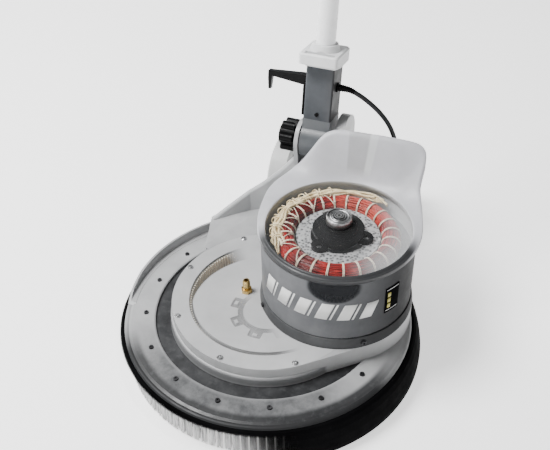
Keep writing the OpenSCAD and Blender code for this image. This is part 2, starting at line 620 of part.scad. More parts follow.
module cord_hook_upper() color(BLACK) at_pivot() {
  difference() {
    translate([0, 0, 800]) cylinder(r = 18, h = 22, $fn = 64);
    translate([0, 0, 790]) cylinder(r = 14, h = 50, $fn = 64);
  }
  hull() {
    box(-30, -17.2, -6, 6, 802, 818);
    box(-86, -84, -4.5, 4.5, 802, 808);
  }
  hull() {
    box(-90, -84, -4.5, 4.5, 802, 812);
    box(-89, -85, -3.5, 3.5, 828, 832);
  }
}
module mains_gland() color(BLACK) at_pivot() {
  translate([0, 24, head_w + 30]) rotate([-90, 0, 0]) difference() {
    union() {
      cylinder(r = 10, h = 12, $fn = 64);
      translate([0, 0, 12]) cylinder(r1 = 8, r2 = 6, h = 14, $fn = 48);
    }
    translate([0, 0, 13]) cylinder(r = 3.5, h = 14, $fn = 32);
  }
}

// ================= knob, wheels =================
module tilt_knob() color(BLACK) translate([pivot_x, 0, 0]) difference() {
  union() {
    translate([-54, pivot_y, pivot_z]) rotate([0, 90, 0]) linear_extrude(20) {
      circle(19);
      for (k = [0:5]) rotate(60 * k + 15) translate([18, 0]) circle(7);
    }
    xcyl(-34, -30.2, 14, pivot_y, pivot_z);
    xcyl(-58, -54, 15, pivot_y, pivot_z);
  }
  xcyl(-56.1, -20, 8 + clr, pivot_y, pivot_z);
}
module wheel(x0, x1) difference() {
  translate([x0, axle_y, axle_z]) rotate([90, 0, 90]) rotate_extrude($fn = 144) {
    w = x1 - x0;
    polygon([[8 + clr, 0.2], [17, 0.2], [20, 5], [50, 5], [53, 0], [wheel_r - 3, 0], [wheel_r, 3],
      [wheel_r, w - 3],
      [wheel_r - 3, w], [53, w], [50, w - 5], [20, w - 5], [17, w - 0.2], [8 + clr, w - 0.2]]);
  }
  translate([0, axle_y, axle_z]) for (k = [0:4]) rotate([72 * k, 0, 0]) xcyl(x0 - 1, x1 + 1, 9, 0, 35, 48);
}
module wheel_left() color([0.66, 0.67, 0.68]) wheel(-106, -73);
module wheel_right() color([0.66, 0.67, 0.68]) wheel(73, 106);

// ================= cable =================
CABLE = [[33, 220, 316], [46, 220, 315], [61, 221, 308], [76, 222, 298], [91, 223, 285], [104, 224, 269],
  [113, 224, 252], [119, 222, 234], [122, 215, 216], [121, 204, 202], [120, 188, 196]];
cable_r = 3.4;
cable_sides = 10;
function dirv(i) = let (n = len(CABLE), a = CABLE[max(i - 1, 0)], b = CABLE[min(i + 1, n - 1)],
  d = b - a) d / norm(d);
function end_dir(i) = i == 0 ? [1, 0, 0] : (i == len(CABLE) - 1 ? [0, -1, 0] : dirv(i));
function side_u(d) = let (c = cross(d, [0.35, 0.6, 0.72])) c / norm(c);
module motor_cable() color(BLACK) polyhedron(
  points = [for (i = [0:len(CABLE) - 1]) let (d = end_dir(i), u = side_u(d), v = cross(d, u))
    each [for (k = [0:cable_sides - 1]) let (t = 360 * k / cable_sides)
      CABLE[i] + cable_r * (u * cos(t) + v * sin(t))]],
  faces = concat([[for (k = [0:cable_sides - 1]) k]],
    [for (i = [0:len(CABLE) - 2], k = [0:cable_sides - 1])
      let (a = i * cable_sides, b = a + cable_sides, k2 = (k + 1) % cable_sides)
      each [[a + k, b + k, b + k2], [a + k, b + k2, a + k2]]],
    [[for (k = [cable_sides - 1:-1:0]) (len(CABLE) - 1) * cable_sides + k]]));

deck_casting();
lip_trim();
bumper_skirt();
gear_cover();
gear_cover_screws();
flange_screws();
water_inlet();
spindle();
spindle_bearings();
lower_end_shield();
motor_base_ring();
motor_shell();
shell_screws();
label_plate();
stator_core();
stator_winding();
winding_lacing();
lead_bundle();
motor_cap();
motor_lid();
electrical_box();
capacitor();
terminal_block();
box_cable_gland();
handle_bracket();
bracket_rib();
pivot_bolt();
pivot_washers();
wheel_axle();
axle_caps();
drive_plate();
ring_gear();
brush_bolts();
brush_block();
bristles();
rotor_core();
rotor_end_rings();
motor_shaft();
centrifugal_switch();
motor_bearings();
drive_pinion();
pivot_drum();
handle_column();
column_screw();
tank_hook_collar();
handle_tube();
cord_hook_lower();
column_cable_gland();
head_housing();
head_cover();
grips();
cord_hook_upper();
mains_gland();
trigger_left();
trigger_right();
safety_button();
tilt_knob();
wheel_left();
wheel_right();
motor_cable();
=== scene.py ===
"""Looks of a single-disc floor machine with an offset upright motor, in the CAD frame, in metres."""
import math
import random

import bpy
from mathutils import Matrix, Vector


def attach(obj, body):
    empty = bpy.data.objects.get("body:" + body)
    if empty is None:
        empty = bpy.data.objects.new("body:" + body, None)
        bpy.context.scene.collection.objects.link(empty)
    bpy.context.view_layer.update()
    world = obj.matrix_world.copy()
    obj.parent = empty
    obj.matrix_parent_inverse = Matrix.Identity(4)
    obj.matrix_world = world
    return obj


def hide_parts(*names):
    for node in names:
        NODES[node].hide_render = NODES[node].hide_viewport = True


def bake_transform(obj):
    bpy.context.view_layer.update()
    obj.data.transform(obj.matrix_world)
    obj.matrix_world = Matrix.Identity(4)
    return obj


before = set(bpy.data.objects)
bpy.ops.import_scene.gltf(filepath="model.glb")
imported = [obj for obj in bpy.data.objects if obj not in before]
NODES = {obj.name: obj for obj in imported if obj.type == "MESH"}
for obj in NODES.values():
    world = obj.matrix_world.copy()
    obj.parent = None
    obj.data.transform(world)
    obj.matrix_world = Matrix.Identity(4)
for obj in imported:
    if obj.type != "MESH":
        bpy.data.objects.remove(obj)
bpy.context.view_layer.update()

TAU = 2 * math.pi
VIEW_AZIMUTH = math.radians(22)
AWAY = Vector((math.sin(VIEW_AZIMUTH), -math.cos(VIEW_AZIMUTH), 0))  # level, towards the photograph's camera

# places that the CAD settles
MOTOR = Vector((0.0898, 0.041683, 0.0))  # the upright motor axis
PIVOT = Vector((0.005, 0.201, 0.232))    # the middle of the handle's tilt axis
LEAN = math.radians(10)                  # the handle's lean at rest
HUB_R, GROOVE_R = 0.1415, 0.1635         # the deck's groove lies between these
WINDING_R, WINDING_Z = 0.0725, 0.194     # the middle of the upper end winding
TIES, TIE_STEP = 24, 15                  # lacing ties and slot bars round the winding, and degrees between them

# The photograph has the motor's right end in deep shade, so its paint is darkened there: the middle, half
# width and fade of that zone, in turns. Seen from the right side, the zone is nearly black under any light.
RIGHT_SHADE = (0.035, 0.07, 0.20)


# ---------------------------------------------------------------- camera
def make_camera():
    """The photograph's own view of the machine."""
    elevation, roll = math.radians(39.94), math.radians(-1.143)
    target, distance = Vector((-0.0423, 0.1391, 0.100)), 1.3214
    sin_a, cos_a = math.sin(VIEW_AZIMUTH), math.cos(VIEW_AZIMUTH)
    back = Vector((sin_a * math.cos(elevation), -cos_a * math.cos(elevation), math.sin(elevation)))
    side = Vector((cos_a, sin_a, 0))
    up = back.cross(side)
    x = math.cos(roll) * side + math.sin(roll) * up
    y = -math.sin(roll) * side + math.cos(roll) * up
    data = bpy.data.cameras.new("camera")
    data.sensor_fit, data.sensor_width, data.lens = "HORIZONTAL", 36.0, 55.29
    data.clip_start, data.clip_end = 0.05, 50
    cam = bpy.data.objects.new("camera", data)
    bpy.context.collection.objects.link(cam)
    axes = Matrix((x, y, back)).transposed()
    cam.matrix_world = Matrix.Translation(target + back * distance) @ axes.to_4x4()
    bpy.context.scene.camera = cam


make_camera()


# ---------------------------------------------------------------- materials
class Shader:
    """A Principled material whose colour, roughness and bump come from nodes in object space."""

    def __init__(self, name, metallic=0.0, rough=(0.35, 0.5), coat=0.0, sheen=0.0, ior=1.5):
        self.m = bpy.data.materials.new(name)
        self.m.use_nodes = True
        self.t = self.m.node_tree
        self.b = self.t.nodes["Principled BSDF"]
        for socket, value in (("Metallic", metallic), ("Coat Weight", coat), ("Coat Roughness", 0.18),
                              ("Sheen Weight", sheen), ("IOR", ior)):
            self.b.inputs[socket].default_value = value
        self.co = self.node("ShaderNodeTexCoord").outputs["Object"]
        self.height = None
        self.link(self.span(self.noise(60, 4), 0.3, 0.7, *rough), self.b.inputs["Roughness"])

    def node(self, kind, **values):
        n = self.t.nodes.new(kind)
        for k, v in values.items():
            setattr(n, k, v)
        return n

    def link(self, a, b):
        self.t.links.new(a, b)

    def stretched(self, x, y, z):
        """Object coordinates drawn out along the axes, for streaks and grain."""
        n = self.node("ShaderNodeMapping", vector_type="TEXTURE")
        n.inputs["Scale"].default_value = (x, y, z)
        self.link(self.co, n.inputs["Vector"])
        return n.outputs["Vector"]

    def noise(self, scale, detail=3.0, rough=0.55, vector=None):
        n = self.node("ShaderNodeTexNoise")
        n.inputs["Scale"].default_value = scale
        n.inputs["Detail"].default_value = detail
        n.inputs["Roughness"].default_value = rough
        self.link(vector or self.co, n.inputs["Vector"])
        return n.outputs["Fac"]

    def voronoi(self, scale, feature="F1"):
        n = self.node("ShaderNodeTexVoronoi", feature=feature)
        n.inputs["Scale"].default_value = scale
        self.link(self.co, n.inputs["Vector"])
        return n.outputs["Distance"]

    def ramp(self, fac, *stops):
        n = self.node("ShaderNodeValToRGB")
        el = n.color_ramp.elements
        while len(el) < len(stops):
            el.new(0.5)
        for e, (place, colour) in zip(el, stops):
            e.position, e.color = place, (*colour, 1)
        self.link(fac, n.inputs["Fac"])
        return n.outputs["Color"]

    def span(self, value, lo, hi, to_lo=0.0, to_hi=1.0, smooth=False):
        n = self.node("ShaderNodeMapRange", interpolation_type="SMOOTHSTEP" if smooth else "LINEAR")
        for k, v in zip(("From Min", "From Max", "To Min", "To Max"), (lo, hi, to_lo, to_hi)):
            n.inputs[k].default_value = v
        self.link(value, n.inputs["Value"])
        return n.outputs["Result"]

    def above(self, value, lo, hi, smooth=False):
        """0 up to lo, rising to 1 at hi."""
        return self.span(value, lo, hi, smooth=smooth)

    def below(self, value, lo, hi, smooth=False):
        """1 up to lo, falling to 0 at hi."""
        return self.span(value, lo, hi, 1, 0, smooth)

    def math(self, op, a, b=None):
        n = self.node("ShaderNodeMath", operation=op)
        for i, v in enumerate((a, b)):
            if v is None:
                continue
            if isinstance(v, (int, float)):
                n.inputs[i].default_value = v
            else:
                self.link(v, n.inputs[i])
        return n.outputs["Value"]

    def times(self, first, *others):
        for other in others:
            first = self.math("MULTIPLY", first, other)
        return first

    def gap(self, a, b):
        """How far apart two values are."""
        return self.math("ABSOLUTE", self.math("SUBTRACT", a, b))

    def hypot(self, a, b):
        return self.math("SQRT", self.math("ADD", self.times(a, a), self.times(b, b)))

    def mix(self, fac, a, b):
        n = self.node("ShaderNodeMix", data_type="RGBA")
        self.link(fac, n.inputs[0])
        for i, v in ((6, a), (7, b)):
            if isinstance(v, tuple):
                n.inputs[i].default_value = (*v, 1)
            else:
                self.link(v, n.inputs[i])
        return n.outputs[2]

    def xyz(self):
        n = self.node("ShaderNodeSeparateXYZ")
        self.link(self.co, n.inputs[0])
        return n.outputs

    def radius(self, cx=0.0, cy=0.0):
        """Distance from an upright axis, the angle round it in turns from -0.5 to 0.5, and the height."""
        x, y, z = self.xyz()
        dx, dy = self.math("SUBTRACT", x, cx), self.math("SUBTRACT", y, cy)
        return self.hypot(dx, dy), self.math("DIVIDE", self.math("ARCTAN2", dy, dx), TAU), z

    def colour(self, c):
        self.link(c, self.b.inputs["Base Color"])

    def alpha(self, a):
        self.link(a, self.b.inputs["Alpha"])

    def bump(self, height, distance, strength=1.0):
        n = self.node("ShaderNodeBump")
        n.inputs["Strength"].default_value = strength
        n.inputs["Distance"].default_value = distance
        self.link(height, n.inputs["Height"])
        if self.height:
            self.link(self.height, n.inputs["Normal"])
        self.height = n.outputs["Normal"]
        self.link(self.height, self.b.inputs["Normal"])


def grimy(s, dark, light, dust=0.12):
    """Base colour that drifts between two shades, with fine specks and faint streaks."""
    base = s.ramp(s.noise(9, 5, 0.6), (0.34, dark), (0.66, light))
    streak = s.noise(26, 3, 0.6, s.stretched(1, 1, 5))
    base = s.mix(s.span(streak, 0.5, 0.78, 0, dust), base, tuple(0.55 * v for v in dark))
    speck = s.span(s.voronoi(900), 0.0, 0.14, 0.35, 0, smooth=True)
    return s.mix(speck, base, tuple(0.7 * v for v in dark))


def painted(name, dark, light, rough=(0.34, 0.48), coat=0.15, dust=0.12):
    """Sprayed paint with a fine orange peel over a slow ripple."""
    s = Shader(name, rough=rough, coat=coat)
    s.colour(grimy(s, dark, light, dust=dust))
    s.bump(s.noise(420, 2), 0.0004, 0.22)
    s.bump(s.noise(28, 2), 0.0016, 0.12)
    return s


def plastic(name, dark, light, grain=700, rough=(0.38, 0.55), ior=1.5):
    """Moulded plastic with a pebbled grain."""
    s = Shader(name, rough=rough, ior=ior)
    s.colour(grimy(s, dark, light, dust=0.08))
    s.bump(s.voronoi(grain, "SMOOTH_F1"), 0.0004, 0.3)
    return s


def metal(name, dark, light, rough=(0.2, 0.36)):
    """Bare metal with fine upright tool lines."""
    s = Shader(name, metallic=1.0, rough=rough)
    lines = s.noise(900, 4, 0.7, s.stretched(1, 1, 30))
    tone = s.math("ADD", s.times(lines, 0.5), s.times(s.noise(40, 3), 0.5))
    s.colour(s.ramp(tone, (0.35, dark), (0.65, light)))
    s.bump(lines, 0.0002, 0.3)
    return s


def angle_gap(s, turn, centre, half, soft):
    """1 within half a width (in turns) of a direction, falling to 0 over soft."""
    d = s.gap(turn, centre)
    d = s.math("MINIMUM", d, s.math("SUBTRACT", 1.0, d))
    return s.below(d, half, half + soft, smooth=True)


def cable_jacket():
    s = Shader("cable_jacket", rough=(0.38, 0.56))
    s.colour(grimy(s, (0.003, 0.003, 0.0035), (0.010, 0.010, 0.011), dust=0.05))
    s.bump(s.noise(700, 3), 0.0003, 0.3)
    return s


def deck_paint_and_shade():
    """Grey paint, with painted shade in the groove, at the hub's foot, along the front and on the outer edge at
    the front.
    """
    s = Shader("deck_paint_and_shade", rough=(0.34, 0.48), coat=0.05, ior=1.35)
    r, turn, z = s.radius()
    paint = grimy(s, (0.29, 0.293, 0.297), (0.40, 0.403, 0.407), dust=0.2)
    # painted shade along the front, made patchy by the noise below
    front = s.times(angle_gap(s, turn, -0.245, 0.085, 0.12), s.above(r, 0.158, 0.170, smooth=True))
    patchy_shade = s.span(s.noise(45, 5, 0.7), 0.35, 0.65, 0.72, 1.0)
    paint = s.mix(s.times(front, patchy_shade), paint, (0.056, 0.0575, 0.060))
    # painted shade on the outer edge at the front
    edge = s.times(s.above(r, 0.186, 0.194, smooth=True), angle_gap(s, turn, -0.215, 0.15, 0.06))
    paint = s.mix(s.times(edge, 0.92), paint, (0.012, 0.0125, 0.0135))
    # painted shade in the groove
    groove_shade = s.times(s.below(z, 0.0568, 0.0586, smooth=True),
                        s.times(s.below(r, GROOVE_R, GROOVE_R + 0.001), s.above(r, HUB_R - 0.0025, HUB_R)))
    dark = s.ramp(s.noise(30, 5, 0.65), (0.3, (0.010, 0.0105, 0.0115)), (0.7, (0.040, 0.041, 0.043)))
    paint = s.mix(groove_shade, paint, dark)
    # painted shade at the hub's foot
    hub_foot_shade = s.times(s.below(z, 0.069, 0.0725, smooth=True),
                       s.times(s.below(r, HUB_R, HUB_R + 0.001), s.above(z, 0.057, 0.0585)))
    paint = s.mix(s.times(hub_foot_shade, 0.7), paint, (0.075, 0.077, 0.080))
    swirl = s.noise(1, 4, 0.7, s.stretched(0.012, 0.012, 0.05))
    s.colour(s.mix(s.span(swirl, 0.52, 0.8, 0, 0.16), paint, (0.24, 0.245, 0.25)))
    s.bump(s.noise(420, 2), 0.0004, 0.2)
    s.bump(s.noise(22, 2), 0.002, 0.1)
    return s


def cover_paint():
    """The gear cover, seen through over the ring gear's left arc and the hub's lobes, as in a cutaway."""
    s = Shader("cover_paint", rough=(0.30, 0.42), coat=0.2)
    s.colour(grimy(s, (0.36, 0.363, 0.367), (0.45, 0.453, 0.457), dust=0.16))
    s.bump(s.noise(420, 2), 0.0004, 0.2)
    r, turn, _ = s.radius()
    r_low, _, _ = s.radius(0.025 * AWAY.x, 0.025 * AWAY.y)
    crescent = s.times(s.below(r, 0.1122, 0.1136, smooth=True), s.above(r_low, 0.1075, 0.1105, smooth=True))
    thin = s.times(s.below(r, 0.1122, 0.1132, smooth=True), s.above(r, 0.1068, 0.1078, smooth=True))
    arc, long_arc = angle_gap(s, turn, -0.4345, 0.150, 0.055), angle_gap(s, turn, -0.340, 0.160, 0.06)
    gear_seen = s.math("MAXIMUM", s.times(crescent, arc), s.times(thin, long_arc, 0.9))
    r_hub, turn_hub, _ = s.radius(0.0300 * AWAY.x, 0.0300 * AWAY.y)
    wave = s.math("COSINE", s.times(turn_hub, 8 * TAU))
    reach = s.span(wave, -0.35, 0.25, 0.0425, 0.0545, smooth=True)
    lobes = s.times(s.above(s.math("SUBTRACT", reach, r_hub), -0.0004, 0.0012, smooth=True),
                    s.above(r_hub, 0.034, 0.0352, smooth=True))
    bolt = s.math("MAXIMUM", s.below(wave, 0.80, 0.90, smooth=True),
                  s.above(s.gap(r_hub, 0.0480), 0.0018, 0.0030))
    lobes = s.times(lobes, bolt, 0.62, angle_gap(s, turn_hub, -0.36, 0.15, 0.09))
    s.alpha(s.math("SUBTRACT", 1.0, s.math("MAXIMUM", s.times(gear_seen, 0.94), lobes)))
    return s


def rim_trim():
    s = Shader("rim_trim", metallic=0.2, rough=(0.40, 0.54), ior=1.25)
    _, turn, _ = s.radius()
    # painted shade: the trim is near black along the front
    s.colour(s.mix(angle_gap(s, turn, -0.225, 0.155, 0.06),
                   grimy(s, (0.28, 0.283, 0.287), (0.40, 0.403, 0.407)), (0.022, 0.0225, 0.0235)))
    s.bump(s.noise(420, 2), 0.0003, 0.2)
    return s


def skirt_rubber():
    """The skirt, seen through at the front left, over the brush."""
    s = Shader("skirt_rubber", rough=(0.5, 0.68), ior=1.06)
    s.colour(grimy(s, (0.0008, 0.0008, 0.0009), (0.0030, 0.0030, 0.0034), dust=0.1))
    s.bump(s.noise(260, 4), 0.0005, 0.35)
    _, turn, z = s.radius()
    low = s.span(z, 0.0505, 0.0475, 0, 1, smooth=True)
    s.alpha(s.math("SUBTRACT", 1.0, s.times(angle_gap(s, turn, -0.352, 0.118, 0.075), low, 0.98)))
    return s


def turned_steel():
    """Lathe-turned steel round the motor axis, with dark rings of painted shade at the races and shields."""
    s = Shader("turned_steel", metallic=1.0, rough=(0.26, 0.40))
    r, _, _ = s.radius(MOTOR.x, MOTOR.y)
    steel = s.ramp(s.noise(300, 4, 0.7), (0.35, (0.26, 0.263, 0.268)), (0.65, (0.56, 0.563, 0.567)))
    rings = ((0.0, 0.0016), (0.0046, 0.0003), (0.0074, 0.0004), (0.0104, 0.0003), (0.0146, 0.0003))
    # painted shade: dark rings in the gaps round the races and shields, and a dark spot on the axis
    for where, half in rings:
        steel = s.mix(s.span(s.gap(r, where), half, half + 0.0004, 0.85, 0), steel, (0.02, 0.02, 0.021))
    s.colour(steel)
    s.bump(s.noise(900, 4, 0.7), 0.0002, 0.3)
    return s


def cast_alloy():
    s = Shader("cast_alloy", metallic=0.75, rough=(0.42, 0.6))
    s.colour(grimy(s, (0.30, 0.305, 0.31), (0.50, 0.505, 0.51), dust=0.2))
    s.bump(s.noise(380, 4, 0.7), 0.0008, 0.4)
    return s


def drive_casting():
    """The drive plate, darker on its raised hub."""
    s = Shader("drive_casting", metallic=0.35, rough=(0.42, 0.6))
    r, _, z = s.radius()
    raised = s.times(s.above(z, 0.0590, 0.0600), s.below(r, 0.0425, 0.0435))
    casting = grimy(s, (0.42, 0.425, 0.43), (0.56, 0.565, 0.57), dust=0.1)
    s.colour(s.mix(raised, casting, (0.10, 0.102, 0.105)))
    s.bump(s.noise(380, 4, 0.7), 0.0008, 0.3)
    return s


def gear_nylon():
    """Cream nylon, with browner painted shade in the roots of the teeth, and paler on the top face."""
    s = Shader("gear_nylon", rough=(0.32, 0.46))
    r, _, z = s.radius()
    nylon = grimy(s, (0.94, 0.78, 0.52), (0.99, 0.90, 0.70), dust=0.1)
    # painted shade in the roots of the teeth
    nylon = s.mix(s.span(r, 0.1098, 0.1124, 0, 0.3), nylon, (0.46, 0.30, 0.15))
    s.colour(s.mix(s.above(z, 0.0815, 0.0838), nylon, (0.90, 0.84, 0.70)))
    s.bump(s.noise(300, 3), 0.0003, 0.25)
    return s


def brush_board():
    s = Shader("brush_board", rough=(0.45, 0.6))
    grain = s.noise(60, 5, 0.6, s.stretched(12, 1, 1))
    s.colour(s.ramp(grain, (0.3, (0.20, 0.12, 0.06)), (0.7, (0.44, 0.30, 0.17))))
    s.bump(grain, 0.0005, 0.4)
    return s


def brush_fibre():
    """White fibre: soiled at the tips, with painted shade at the roots and over every ring but the outer one.
    """
    s = Shader("brush_fibre", rough=(0.38, 0.55), sheen=0.15)
    streaks = s.noise(420, 3, 0.6, s.stretched(1, 1, 22))
    fibre = s.ramp(streaks, (0.28, (0.20, 0.20, 0.205)), (0.44, (0.50, 0.50, 0.50)),
                   (0.68, (0.78, 0.78, 0.775)))
    r, _, z = s.radius()
    fibre = s.mix(s.span(z, 0.010, 0.0, 0, 0.35), fibre, (0.42, 0.41, 0.39))
    # painted shade at the roots, under the machine
    fibre = s.mix(s.span(z, 0.026, 0.044, 0, 0.55), fibre, (0.16, 0.16, 0.165))
    # painted shade over every ring but the outer one, under the deck
    s.colour(s.mix(s.span(r, 0.1962, 0.1990, 0.93, 0), fibre, (0.030, 0.030, 0.032)))
    s.bump(streaks, 0.0003, 0.4)
    return s


def motor_wall_paint_and_shade():
    """The motor wall: pale inside and at its foot, with painted shade on the right and a dark dome of painted
    shade under the lip.

    The dome stands for a window onto the core's dark inside. It is mostly painted, and slightly see-through.
    """
    s = Shader("motor_wall_paint_and_shade", rough=(0.36, 0.48), ior=1.12)
    r, turn, z = s.radius(MOTOR.x, MOTOR.y)
    wall = grimy(s, (0.110, 0.113, 0.119), (0.190, 0.194, 0.202), dust=0.3)
    # painted shade on the right end
    wall = s.mix(angle_gap(s, turn, *RIGHT_SHADE), wall, (0.012, 0.012, 0.013))
    wall = s.mix(s.span(z, 0.1062, 0.1052, 0, 1), wall, (0.45, 0.455, 0.46))
    wall = s.mix(s.span(r, 0.1052, 0.1048), wall, (0.46, 0.465, 0.47))
    # the dome: painted shade under the lip, slightly see-through
    across = s.math("DIVIDE", s.math("SUBTRACT", turn, -0.2085), 0.058)
    rise = s.math("DIVIDE", s.math("SUBTRACT", z, 0.1960), 0.0270)
    dome = s.hypot(across, rise)
    s.colour(s.mix(s.span(dome, 0.80, 1.0, 0.93, 0, smooth=True), wall, (0.008, 0.009, 0.011)))
    s.alpha(s.span(dome, 0.80, 0.98, 0.85, 1.0, smooth=True))
    s.bump(s.noise(420, 2), 0.0004, 0.2)
    s.bump(s.noise(20, 2), 0.002, 0.12)
    return s


def motor_base_paint_and_shade():
    s = Shader("motor_base_paint_and_shade", rough=(0.36, 0.5), ior=1.15)
    _, turn, _ = s.radius(MOTOR.x, MOTOR.y)
    base = grimy(s, (0.052, 0.053, 0.055), (0.105, 0.107, 0.110), dust=0.3)
    # painted shade on the right end, as on the motor wall
    s.colour(s.mix(angle_gap(s, turn, *RIGHT_SHADE), base, (0.012, 0.012, 0.013)))
    s.bump(s.noise(420, 2), 0.0004, 0.22)
    return s


def cap_paint_shade_and_highlight():
    """The motor cap: a dark band of painted shade along the front, a painted highlight ring round the opening,
    and a dark band of painted shade and a pale line of painted highlight on the fairing.
    """
    s = Shader("cap_paint_shade_and_highlight", rough=(0.32, 0.46), coat=0.05, ior=1.3)
    r, turn, z = s.radius(MOTOR.x, MOTOR.y)
    cap = grimy(s, (0.42, 0.422, 0.445), (0.54, 0.542, 0.57), dust=0.12)
    # painted shade: a dark band along the front of the rim
    band = s.times(angle_gap(s, turn, -0.215, 0.185, 0.06), s.below(r, 0.1075, 0.1095))
    cap = s.mix(band, cap, (0.036, 0.037, 0.039))
    # painted highlight: a pale ring round the opening
    cap = s.mix(s.span(r, 0.1000, 0.0997, 0, 0.8), cap, (0.42, 0.425, 0.43))
    slope = s.above(z, 0.2200, 0.2300)
    # a dark band of painted shade and a pale line of painted highlight on the fairing
    for centre, half, depth, tint in ((0.2655, 0.0165, 0.42, (0.24, 0.24, 0.235)),
                                      (0.2415, 0.0050, 0.35, (0.70, 0.73, 0.71))):
        cap = s.mix(s.times(angle_gap(s, turn, centre, half, 0.004), slope, depth), cap, tint)
    s.colour(cap)
    s.bump(s.noise(420, 2), 0.0004, 0.2)
    s.bump(s.noise(28, 2), 0.0016, 0.1)
    return s


def clear_lid():
    """The ghosted end shield: almost clear, with a haze on the right."""
    s = Shader("clear_lid", rough=(0.08, 0.22), coat=0.3)
    s.colour(s.ramp(s.noise(14, 3), (0.3, (0.78, 0.80, 0.81)), (0.7, (0.90, 0.91, 0.92))))
    r, turn, _ = s.radius(MOTOR.x, MOTOR.y)
    haze = s.span(s.noise(9, 3), 0.35, 0.75, 0.006, 0.018)
    right = s.times(angle_gap(s, turn, 0.0, 0.07, 0.13), s.above(r, 0.055, 0.085))
    s.alpha(s.math("ADD", haze, s.times(right, 0.22)))
    return s


def enamelled_copper():
    """Red enamelled wire, in shade low down and over three stretches, and lit over one."""
    s = Shader("enamelled_copper", rough=(0.26, 0.42), coat=0.1, ior=1.3)
    wound = s.ramp(s.noise(60, 4, 0.65), (0.25, (0.07, 0.002, 0.0015)), (0.5, (0.27, 0.005, 0.003)),
                   (0.78, (0.50, 0.020, 0.009)))
    _, turn, z = s.radius(MOTOR.x, MOTOR.y)
    shade = (0.030, 0.003, 0.003)
    dark_runs = s.math("MAXIMUM", angle_gap(s, turn, -0.30, 0.015, 0.06),
                       s.math("MAXIMUM", angle_gap(s, turn, -0.09, 0.015, 0.06),
                              angle_gap(s, turn, 0.47, 0.04, 0.09)))
    wound = s.mix(s.times(dark_runs, 0.72), wound, shade)
    wound = s.mix(s.span(z, 0.1990, 0.1870, 0, 0.8, smooth=True), wound, shade)
    s.colour(s.mix(s.times(angle_gap(s, turn, 0.22, 0.05, 0.08), 0.35), wound, (0.66, 0.13, 0.085)))
    s.bump(s.noise(700, 3), 0.0003, 0.3)
    return s


def waxed_lacing():
    s = Shader("waxed_lacing", rough=(0.5, 0.7), sheen=0.2)
    s.colour(s.ramp(s.noise(500, 3), (0.3, (0.50, 0.40, 0.29)), (0.7, (0.80, 0.70, 0.55))))
    s.bump(s.noise(1500, 2), 0.0003, 0.5)
    return s


def braided_sleeving():
    s = Shader("braided_sleeving", rough=(0.55, 0.75), sheen=0.3)
    braid = s.voronoi(850)
    lead = s.ramp(s.noise(90, 4, 0.6), (0.3, (0.50, 0.37, 0.17)), (0.55, (0.84, 0.70, 0.42)),
                  (0.8, (0.96, 0.88, 0.66)))
    s.colour(s.mix(s.span(braid, 0.0, 0.5, 0.5, 0), lead, (0.34, 0.27, 0.16)))
    s.bump(braid, 0.0006, 0.7)
    return s


def rotor_end_casting():
    """Cast end ring, speckled like chipped alloy."""
    s = Shader("rotor_end_casting", metallic=0.55, rough=(0.3, 0.48))
    chips = s.voronoi(230)
    s.colour(s.ramp(chips, (0.16, (0.05, 0.05, 0.055)), (0.32, (0.26, 0.265, 0.27)),
                    (0.60, (0.58, 0.585, 0.59))))
    s.bump(chips, 0.0012, 0.6)
    return s


def flat_ink(name, dark, light, rough):
    """A thin printed patch."""
    s = Shader(name, rough=rough)
    s.colour(grimy(s, dark, light, dust=0.2))
    s.bump(s.noise(500, 2), 0.0002, 0.2)
    return s


def column_paint_and_shade():
    """The column: paler on the right half of its front, with near black painted shade on its right face."""
    s = Shader("column_paint_and_shade", rough=(0.34, 0.48), ior=1.15)
    x, _, _ = s.xyz()
    column = grimy(s, (0.044, 0.048, 0.054), (0.082, 0.088, 0.096), dust=0.3)
    # painted shade: the right face near black
    column = s.mix(s.above(x, 0.0235, 0.0255), column, (0.006, 0.006, 0.0065))
    s.colour(s.mix(s.span(x, 0.012, 0.0235, 0, 0.35), column, (0.10, 0.10, 0.103)))
    s.bump(s.noise(420, 2), 0.0004, 0.2)
    return s


def grip_rubber():
    """Black rubber with rings round the grip."""
    s = Shader("grip_rubber", rough=(0.5, 0.68))
    s.colour(grimy(s, (0.012, 0.012, 0.013), (0.036, 0.036, 0.038), dust=0.1))
    ribs = s.node("ShaderNodeTexWave", wave_type="BANDS", bands_direction="X")
    ribs.inputs["Scale"].default_value = 70
    s.link(s.co, ribs.inputs["Vector"])
    s.bump(ribs.outputs["Fac"], 0.0008, 0.7)
    return s


# the shaders that new pieces wear; the CAD nodes get theirs in FINISHES
s_black = plastic("black_moulding", (0.0010, 0.0010, 0.0012), (0.0045, 0.0045, 0.0050), rough=(0.30, 0.46),
                  ior=1.19)
s_turned = turned_steel()
s_decal = flat_ink("pale_decal", (0.62, 0.62, 0.61), (0.80, 0.80, 0.79), (0.34, 0.5))


# ---------------------------------------------------------------- mesh helpers
def mesh(name, verts, faces, shader, body, slot, replaces=()):
    """A new piece."""
    me = bpy.data.meshes.new(name)
    me.from_pydata([tuple(v) for v in verts], [], faces)
    me.validate()
    me.update()
    me.polygons.foreach_set("use_smooth", [True] * len(me.polygons))
    ob = bpy.data.objects.new(name, me)
    bpy.context.collection.objects.link(ob)
    me.materials.append(shader.m)
    if body:
        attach(ob, body)
    if replaces:
        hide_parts(*replaces)
    return ob


